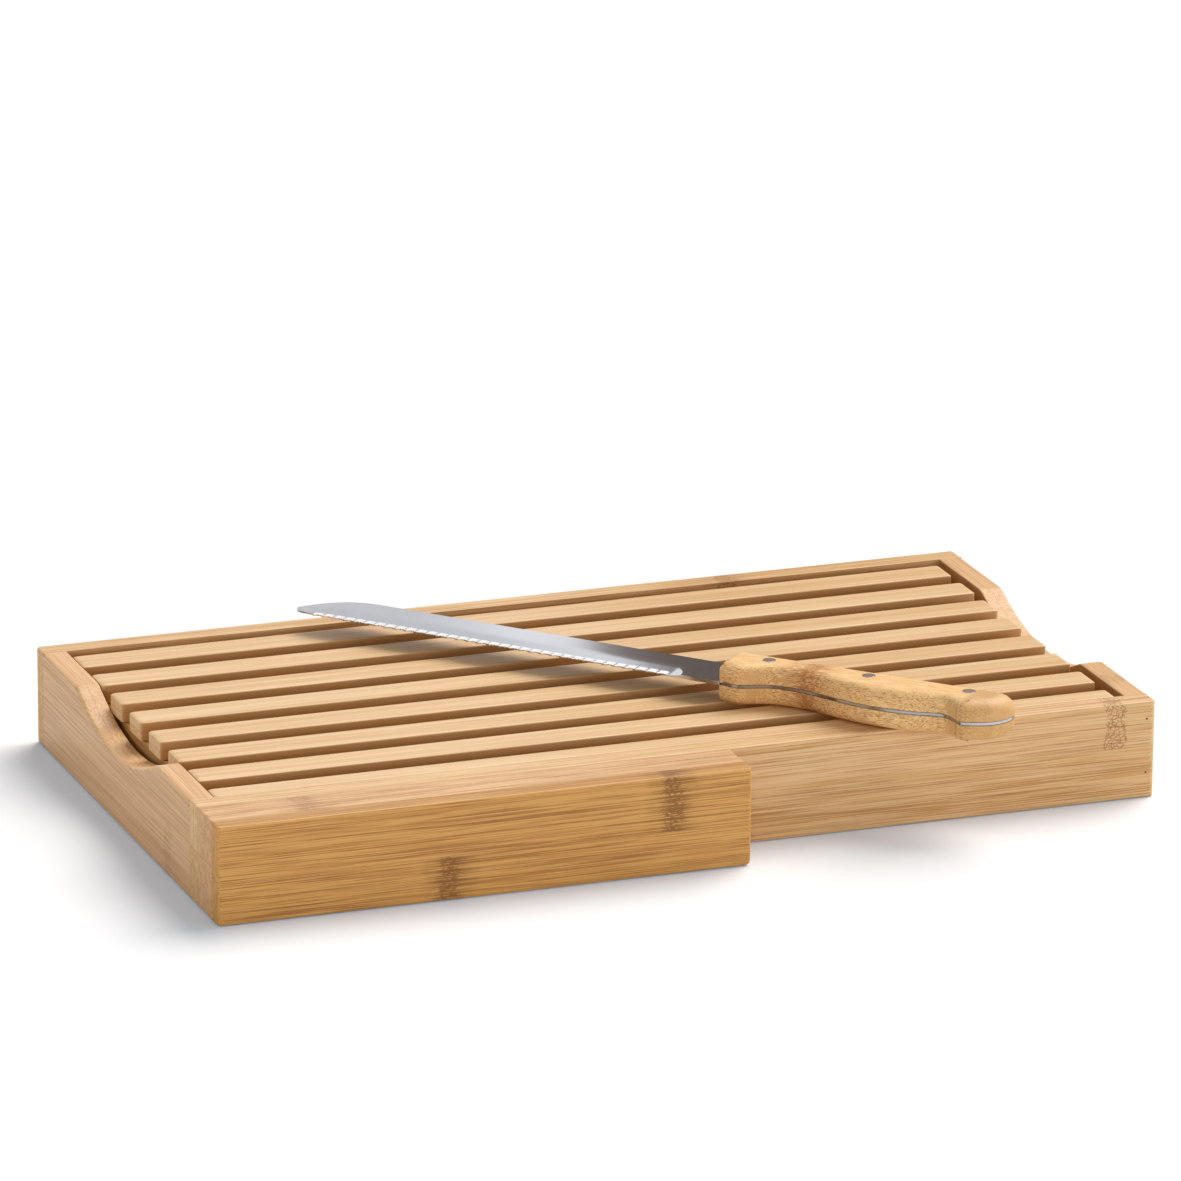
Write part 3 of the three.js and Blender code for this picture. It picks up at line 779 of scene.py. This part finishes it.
def steel(name, colour, worn, rough, line_width, turned=None, ground=False):
    """Satin steel between two colours. With ground, the piece's own attribute of that name is 1 in the
    reground scallops, which are smoother and whiter with a painted highlight, and less than 0 on the
    tang, which is darker as a painted reflection."""
    material, tree = new_shader(bpy.data.materials, name)
    place = node(tree, "ShaderNodeTexCoord").outputs["Object"]
    if turned:
        place = own_frame(tree, place, *turned)
    brushed = node(tree, "ShaderNodeGroup", {"Place": place, "Line Width": line_width},
                   node_tree=satin_nodes).outputs
    lines = brushed["Lines"]
    cloudy = ramp(tree, brushed["Cloud"], 0.3, 0.7, 0, 0.5)
    tint = blend(tree, calc(tree, "ADD", ramp(tree, lines, 0.35, 0.65, 0, 0.5), cloudy), colour, worn)
    gloss = calc(tree, "ADD", rough, ramp(tree, lines, 0.3, 0.7, -0.02, 0.03))
    if ground:
        mark = node(tree, "ShaderNodeAttribute", attribute_name="ground").outputs["Fac"]
        tint = blend(tree, mark, tint, reground_white_and_highlight)
        # Below 0, on the tang, a darker colour: a painted reflection.
        tint = blend(tree, ramp(tree, mark, 0, -1), tint, tang_painted_reflection)
        gloss = calc(tree, "SUBTRACT", gloss, calc(tree, "MULTIPLY", mark, ground_polish))
    end_material(tree, {"Base Color": tint, "Metallic": 1.0, "Roughness": gloss},
                 lines, steel_bump, steel_relief)
    return material


brad_low, brad_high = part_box("brad_front_left_low")
brad_length = brad_high.y - brad_low.y - brad_sink
brad_steel = steel("brad_steel", brad_dark, brad_worn, brad_rough, brad_lines)
brad_middles = [(x, y - outward * (brad_sink + brad_length / 2), z)
                for side, outward in (("front", -1), ("back", 1)) for x, y, z in brad_places(side, outward)]
brads = made_by(pins, "brads", {
    "Radius": (brad_high.x - brad_low.x) / 2 * brad_play, "Length": brad_length, "Crown": brad_crown,
    "Turn": (quarter_turn, 0, 0), "Material": brad_steel}, brad_middles)
finish_piece(brads)
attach(brads, "tray")
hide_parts(*brad_names["front"], *brad_names["back"])


# Knife block: two bamboo boards glued to the front wall. The inner one has a
# channel milled along it, open at the right, and the outer cheek closes it, so
# the blade slides in from the right end.

block_easing, block_corner, block_foot = 0.0010, 0.0014, 0.0025
slot_width, slot_wall, slot_end_wall = 0.005, 0.005, 0.013
cheek_pale, cheek_deep = (0.690, 0.360, 0.088, 1), (0.500, 0.222, 0.038, 1)
cheek_streak, cheek_count_from = (0.330, 0.125, 0.022, 1), 0.005
body_pale, body_deep = (0.780, 0.470, 0.230, 1), (0.560, 0.290, 0.110, 1)

low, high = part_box("block_cheek")
cheek = planed_board("block_cheek_board", low, high, block_easing, crisp=("+y",), corner=block_corner,
                     foot=block_foot)
finish_piece(cheek, bamboo("block_cheek_bamboo", "xzy", start=(0, low.y - count_from, -cheek_count_from),
                           seed=55.0, strip=0.0225, ply=0.0045, knuckles=(-0.1065, -0.0145), contrast=0.95,
                           pale=cheek_pale, deep=cheek_deep, streak=cheek_streak))
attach(cheek, "tray")
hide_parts("block_cheek")

low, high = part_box("block_body")
body = planed_board("block_body_board", low, high, block_easing, crisp=("+y", "-y"), foot=block_foot)
channel = planed_board("channel", (low.x + slot_end_wall, low.y - slot_width, low.z + slot_wall),
                       (high.x + slot_width, low.y + slot_width, high.z - slot_wall), glue_line)
body_bamboo = bamboo("block_body_bamboo", "xzy", start=(0, low.y - count_from, count_from), seed=62.0,
                     ply=0.0085, knuckles=(-0.04, -0.16), knuckle=0.5, variety=0.8, pale=body_pale,
                     deep=body_deep)
finish_piece(body, body_bamboo, tool=channel)
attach(body, "tray")
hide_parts("block_body")


# Grate: seven like slats and a narrow one at the front, flush with the rim and
# cut short of the end panels, glued to three crossbars that rest on the
# ledges. The whole grate lifts out.

slat_edge, crossbar_edge = (0.0022, 0.0010, 0.0007), (0.0005, 0.0005, 0.0005)
slat_names = [f"slat_{i}" for i in range(1, 8)]
crossbar_names = [f"crossbar_{i}" for i in range(1, 4)]
slat_pale, slat_deep = (0.800, 0.540, 0.285, 1), (0.630, 0.360, 0.135, 1)
slat_streak, slat_underside = (0.50, 0.245, 0.070, 1), 0.032
crossbar_pale, crossbar_deep = (0.50, 0.26, 0.075, 1), (0.36, 0.165, 0.040, 1)

# side darkens the slats' narrow faces: painted shade in the gaps between them.
slat_bamboo = bamboo("slat_bamboo", "xyz", start=(0, 0, slat_underside - count_from), strip=0.0405,
                     ply=0.0043, contrast=0.55, side=0.74, calm=0.65, variety=0.9, pale=slat_pale,
                     deep=slat_deep, streak=slat_streak, piece_seed="bar_number")
for name, nodes, number in (("front_slat_bar", ["front_slat"], 70.0), ("slats", slat_names, 71.0)):
    slats = row_of_bars(name, nodes, slat_bamboo, slat_edge, number)
    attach(slats, "grate")
    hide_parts(*nodes)

crossbar_bamboo = bamboo("crossbar_bamboo", "yxz", piece_seed="bar_number", pale=crossbar_pale,
                         deep=crossbar_deep)
crossbars = row_of_bars("crossbars", crossbar_names, crossbar_bamboo, crossbar_edge, 90.0)
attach(crossbars, "grate")
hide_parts(*crossbar_names)


# Blade: one steel plate from the tip through the whole handle. It is satin
# ground, bevelled on its upper face along the cutting edge, and hollow ground
# there into small scallops with a point between each two.

knife_place, knife_turn = Vector((0.0838, -0.0878, 0.0488)), math.radians(-46.2)
handle_length, handle_width, handle_middle_share, handle_back = 0.121, 0.0247, 0.49, 0.0095
steel_thickness, blade_length, blade_width, blade_lean = 0.0016, 0.1927, 0.0218, math.radians(2)
nose_length, nose_end_share = 0.028, 0.3
nose_shares = [(1, 0), (0.82, 0.015), (0.62, 0.09), (0.43, 0.22), (0.25, 0.42), (0.1, 0.66), (0, 0.86),
               (0.05, 0.925), (nose_end_share, 0.965)]
scallop_pitch, scallop_depth, scallop_height, scallop_heel = 0.00475, 0.0012, 0.0032, 0.021
bevel_height, bevel_drop, bevel_heel, bevel_heel_curve = 0.009, 0.0010, 0.0165, 0.005
hollow_drop, hollow_curve, spine_easing, edge_left = 0.00038, 0.8, 0.00018, 0.00008
# The tang is darker from the guard to near the butt: a painted reflection that fades out at the butt.
tang_easing, tang_inset, tang_reflection_darkening, tang_darkening_until = 0.0003, 0.0001, 0.5, (0.044, 0.058)
scallop_highlight, blade_tucked_in, blade_sharp = 1.6, 0.001, math.radians(32)
blade_grey, blade_worn = (0.50, 0.508, 0.53, 1), (0.535, 0.545, 0.565, 1)
blade_rough, blade_lines = 0.17, 0.0003
heel_columns, columns_per_scallop, nose_columns = 34, 12, 22
flat_rows, bevel_rows, hollow_rows = 5, 4, 9
handle_front = -handle_middle_share * handle_length
belly_shares = [
    (0, 0.87), (0.05, 0.915), (0.08, 0.905), (0.12, 0.79), (0.16, 0.69), (0.21, 0.65), (0.28, 0.665),
    (0.35, 0.735), (0.42, 0.825), (0.51, 0.905), (0.58, 0.925), (0.65, 0.91), (0.71, 0.85), (0.76, 0.785),
    (0.8, 0.785), (0.83, 0.865), (0.855, 0.96), (0.875, 1), (0.9, 0.97), (0.935, 0.885), (0.965, 0.78),
    (0.986, 0.64), (0.998, 0.485), (1, 0.34), (0.99, 0.18), (0.965, 0.05), (0.93, 0)]


def smooth_line(points, steps):
    """A curve through the points, with steps between each two."""
    points = np.array(points, float)
    ends = np.vstack([points[:1], points, points[-1:]])
    line = []
    for p0, p1, p2, p3 in zip(ends, ends[1:], ends[2:], ends[3:]):
        lead, trail = (p2 - p0) / 2, (p3 - p1) / 2
        for t in np.arange(steps) / steps:
            line.append((2 * p1 - 2 * p2 + lead + trail) * t ** 3
                        + (3 * p2 - 3 * p1 - 2 * lead - trail) * t ** 2 + lead * t + p1)
    return np.array(line + [points[-1]])


def handle_line(steps):
    """The outline of the handle in the knife's own frame: belly, butt, back and front corner."""
    shares = smooth_line(belly_shares, steps)
    line = np.column_stack([handle_front + shares[:, 0] * handle_length,
                            handle_back - shares[:, 1] * handle_width])
    return np.vstack([line, [(handle_front, handle_back)]])


def blade_columns():
    """Distances from the handle towards the tip, close together along the scallops and at the tip."""
    start = blade_length - nose_end_share * nose_length
    count = int((start - scallop_heel) / scallop_pitch)
    end = start - count * scallop_pitch
    heel = np.linspace(-blade_tucked_in, end, heel_columns)[:-1]
    teeth = np.linspace(end, start, count * columns_per_scallop + 1)
    bow = 1 - np.sin(np.linspace(0, quarter_turn, nose_columns)[1:])
    return np.concatenate([heel, teeth, blade_length - (blade_length - start) * bow]), start, end


def blade_grid():
    """The upper face of the blade: columns along it and rows from spine to edge."""
    reach, start, end = blade_columns()
    nose = smooth_line(nose_shares, 12)
    tip = int(np.argmin(nose[:, 0]))
    back = (blade_length - reach) / nose_length
    spine = np.interp(back, nose[:tip + 1, 0][::-1], nose[:tip + 1, 1][::-1]) * blade_width
    line = np.interp(back, list(nose[tip:, 0]) + [1], list(nose[tip:, 1]) + [1]) * blade_width
    toothed = (reach > end - 1e-9) & (reach < start + 1e-9)
    line = np.where(toothed, blade_width, line)
    bite = np.where(toothed, np.sin(math.pi * np.clip((start - reach) / scallop_pitch % 1, 0, 1)), 0)
    edge = line - bite * scallop_depth
    room = np.clip((line - spine) / blade_width, 0, 1)
    curve = np.sqrt(np.clip((reach - bevel_heel) / bevel_heel_curve, 0, 1))
    top = steel_thickness / 2
    verts, marks = [], []
    for i, r in enumerate(reach):
        lines = [spine[i], spine[i] + spine_easing * room[i]]
        shoulder = min(line[i] - bevel_height * room[i] * curve[i], edge[i])
        lip = max(min(line[i] - scallop_height * room[i], edge[i]), shoulder)
        lines += list(np.linspace(lines[1], shoulder, flat_rows)[1:])
        lines += list(np.linspace(shoulder, lip, bevel_rows)[1:])
        lines += list(np.linspace(lip, edge[i], hollow_rows)[1:])
        for k, depth in enumerate(lines):
            into = np.clip((depth - shoulder) / max(line[i] - shoulder, 1e-6), 0, 1) if curve[i] > 0 else 0
            cup = np.clip((depth - lip) / max(line[i] - lip, 1e-6), 0, 1)
            height = top - bevel_drop * curve[i] * into - hollow_drop * bite[i] * cup ** hollow_curve
            height -= spine_easing if k == 0 else 0
            verts.append((r, depth, max(height, -top + edge_left)))
            # The scallop hollows are marked whiter: a painted highlight on reground steel.
            marks.append(min(1, bite[i] * scallop_highlight) * float(cup > 0))
    return verts, marks, len(lines)


def ring_faces(first, count, rings):
    """Faces between rings of points, and one over each end."""
    last = first + (rings - 1) * count
    faces = [tuple(range(first, first + count)), tuple(range(last, last + count))]
    for ring in range(first, last, count):
        for i in range(count):
            a, b = ring + i, ring + (i + 1) % count
            faces.append((a, b, b + count, a + count))
    return faces


def knife_piece(name, points, faces, sharp, marks=()):
    """A closed piece of the knife, from the knife's own frame, which has the middle rivet at zero
    and the butt towards +X, laid on the board. Marks say where the steel is whiter, in the reground
    scallops with a painted highlight, and where it is darker, on the tang as a painted reflection."""
    on_board = Matrix.Translation(knife_place) @ Matrix.Rotation(knife_turn, 4, "Z")
    piece = mesh_piece(name, [on_board @ Vector(p) for p in points], faces)
    if marks:
        mark = piece.data.attributes.new("ground", "FLOAT", "POINT")
        mark.data.foreach_set("value", np.array(marks, np.float32))
    shape = bmesh.new()
    shape.from_mesh(piece.data)
    if marks:
        bmesh.ops.remove_doubles(shape, verts=shape.verts[:], dist=1e-7)
        bmesh.ops.dissolve_degenerate(shape, edges=shape.edges[:], dist=1e-7)
    bmesh.ops.recalc_face_normals(shape, faces=shape.faces[:])
    shape.to_mesh(piece.data)
    shape.free()
    piece.data.set_sharp_from_angle(angle=sharp)
    return piece


def blade_piece():
    """The ground blade with its flat underside, and the tang between the scales, as one plate."""
    verts, marks, across = blade_grid()
    top, under, last = steel_thickness / 2, len(verts), across - 1
    starts = range(0, under, across)
    faces = [(a + k, a + k + across, a + k + across + 1, a + k + 1) for a in starts[:-1] for k in range(last)]
    for a in starts:
        verts += [(*verts[a + k][:2], -top) for k in (0, last)]
        marks += [0, 0]
    for i, (a, b) in enumerate(zip(starts, starts[1:])):
        near, far = under + 2 * i, under + 2 * i + 2
        faces += [(near, near + 1, far + 1, far), (a, near, far, b), (a + last, b + last, far + 1, near + 1)]
    lean = Matrix.Rotation(-blade_lean, 3, "Z")
    placed = []
    for r, depth, height in verts:
        p = lean @ Vector((-r, -depth, 0))
        placed.append((p.x + handle_front, p.y + handle_back, height))
    outline = handle_line(6)
    ahead = np.roll(outline, -1, 0) - np.roll(outline, 1, 0)
    inward = np.column_stack([-ahead[:, 1], ahead[:, 0]]) / np.linalg.norm(ahead, axis=1)[:, None]
    outline = outline + inward * tang_inset
    eased = outline + inward * tang_easing
    faces += ring_faces(len(placed), len(outline), 4)
    for ring, height in ((eased, -top), (outline, tang_easing - top), (outline, top - tang_easing),
                         (eased, top)):
        placed += [(x, y, height) for x, y in ring]
        # The tang's points are marked darker, a painted reflection that fades out near the butt.
        marks += list(-np.interp(ring[:, 0], tang_darkening_until, (tang_reflection_darkening, 0.0)))
    return knife_piece("blade_plate", placed, faces, blade_sharp, marks)


blade = finish_piece(blade_piece(), steel(
    "blade_steel", blade_grey, blade_worn, blade_rough, blade_lines,
    turned=(knife_place, knife_turn - blade_lean), ground=True))
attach(blade, "knife")
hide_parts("blade")


# Handle scales: two bamboo scales riveted to the steel, upright next to it and
# rounded over to a flat outer face, most at the butt. The fibres run along the
# handle and come out as dots where the guard and the butt curve away.

belly_rounding, back_rounding, front_rounding = (0.0045, 0.0040), (0.0060, 0.0045), (0.0030, 0.0025)
butt_rounding, butt_start = (0.0078, 0.0058), (0.040, 0.052)
scale_top, scale_sharp, scale_strip, rivet_seat = 0.0085, math.radians(38), 0.060, 0.00006
rounding_steps, sharp_turn = 9, 0.4
handle_pale, handle_deep = (0.96, 0.640, 0.300, 1), (0.85, 0.450, 0.140, 1)
handle_streak, handle_brown = (0.40, 0.182, 0.038, 1), (0.45, 0.160, 0.030, 1)


def scale_rings():
    """Rings of points from the steel up to the flat outer face."""
    ring = handle_line(7)
    ahead = np.roll(ring, -1, 0) - ring
    normal = np.column_stack([ahead[:, 1], -ahead[:, 0]]) / np.linalg.norm(ahead, axis=1)[:, None]
    rounding = np.array(belly_rounding)
    for share, other in ((np.clip(normal[:, 1], 0, 1), back_rounding),
                         (np.clip(-normal[:, 0], 0, 1), front_rounding),
                         (np.interp(ring[:, 0], butt_start, (0, 1)), butt_rounding)):
        rounding = rounding * (1 - share[:, None]) + np.array(other) * share[:, None]
    before, after = np.roll(normal, 1, 0), normal
    reach_before, reach_after = np.roll(rounding[:, 0], 1), rounding[:, 0]
    turn = before[:, 0] * after[:, 1] - before[:, 1] * after[:, 0]
    middle = before + after
    inset = middle / np.linalg.norm(middle, axis=1)[:, None] * ((reach_before + reach_after) / 2)[:, None]
    for i in np.flatnonzero(np.abs(turn) > sharp_turn):
        inset[i] = ((reach_before[i] * after[i, 1] - reach_after[i] * before[i, 1]) / turn[i],
                    (reach_after[i] * before[i, 0] - reach_before[i] * after[i, 0]) / turn[i])
    rise = (rounding[:, 1] + np.roll(rounding[:, 1], 1)) / 2
    rings = [[(x, y, steel_thickness / 2) for x, y in ring]]
    for angle in np.arange(rounding_steps + 1) * quarter_turn / rounding_steps:
        inward = ring - inset * (1 - math.cos(angle))
        height = scale_top - rivet_seat - rise * (1 - math.sin(angle))
        rings.append([(x, y, z) for (x, y), z in zip(inward, height)])
    return rings


for name, node_name, side, seed in (("upper_scale_piece", "upper_scale", 1, 101.0),
                                    ("lower_scale_piece", "lower_scale", -1, 108.0)):
    rings = scale_rings()
    scale = knife_piece(name, [(x, y, side * z) for ring in rings for x, y, z in ring],
                        ring_faces(0, len(rings[0]), len(rings)), scale_sharp)
    # crease=0.0437 draws a painted line of shade where the neck runs into the butt.
    finish_piece(scale, bamboo(
        name + "_bamboo", "xyz", start=(0, 0.012 * side, 0), seed=seed, strip=scale_strip, ply=scale_strip,
        fibre=0.00028, slope=9, contrast=0.95, pores=0.65, edge=0, calm=0.40, crease=0.0437,
        turned=(knife_place, knife_turn), knuckles=(-0.0235, 9), ends=0.35, knot=handle_brown,
        pale=handle_pale, deep=handle_deep, streak=handle_streak))
    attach(scale, "knife")
    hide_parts(node_name)


# Rivets: three steel pins through both scales and the steel, cut off and ground
# flush with the flat outer faces, and coloured dark brown.

rivet_pitch, rivet_radius, rivet_rough, rivet_lines = 0.0432, 0.0027, 0.34, 0.00025
rivet_brown, rivet_worn = (0.24, 0.19, 0.155, 1), (0.34, 0.275, 0.23, 1)
rivet_steel = steel("rivet_steel", rivet_brown, rivet_worn, rivet_rough, rivet_lines,
                    turned=(knife_place, knife_turn))
along_handle = Matrix.Rotation(knife_turn, 3, "Z") @ Vector((rivet_pitch, 0, 0))
rivets = made_by(pins, "rivets", {
    "Radius": rivet_radius, "Length": 2 * scale_top, "Crown": rivet_seat / 2, "Material": rivet_steel},
    [knife_place + i * along_handle for i in (-1, 0, 1)])
finish_piece(rivets)
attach(rivets, "knife")
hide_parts("rivet_front", "rivet_middle", "rivet_butt")


# The box around all the finished pieces, without the sheet and the card.

low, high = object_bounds()
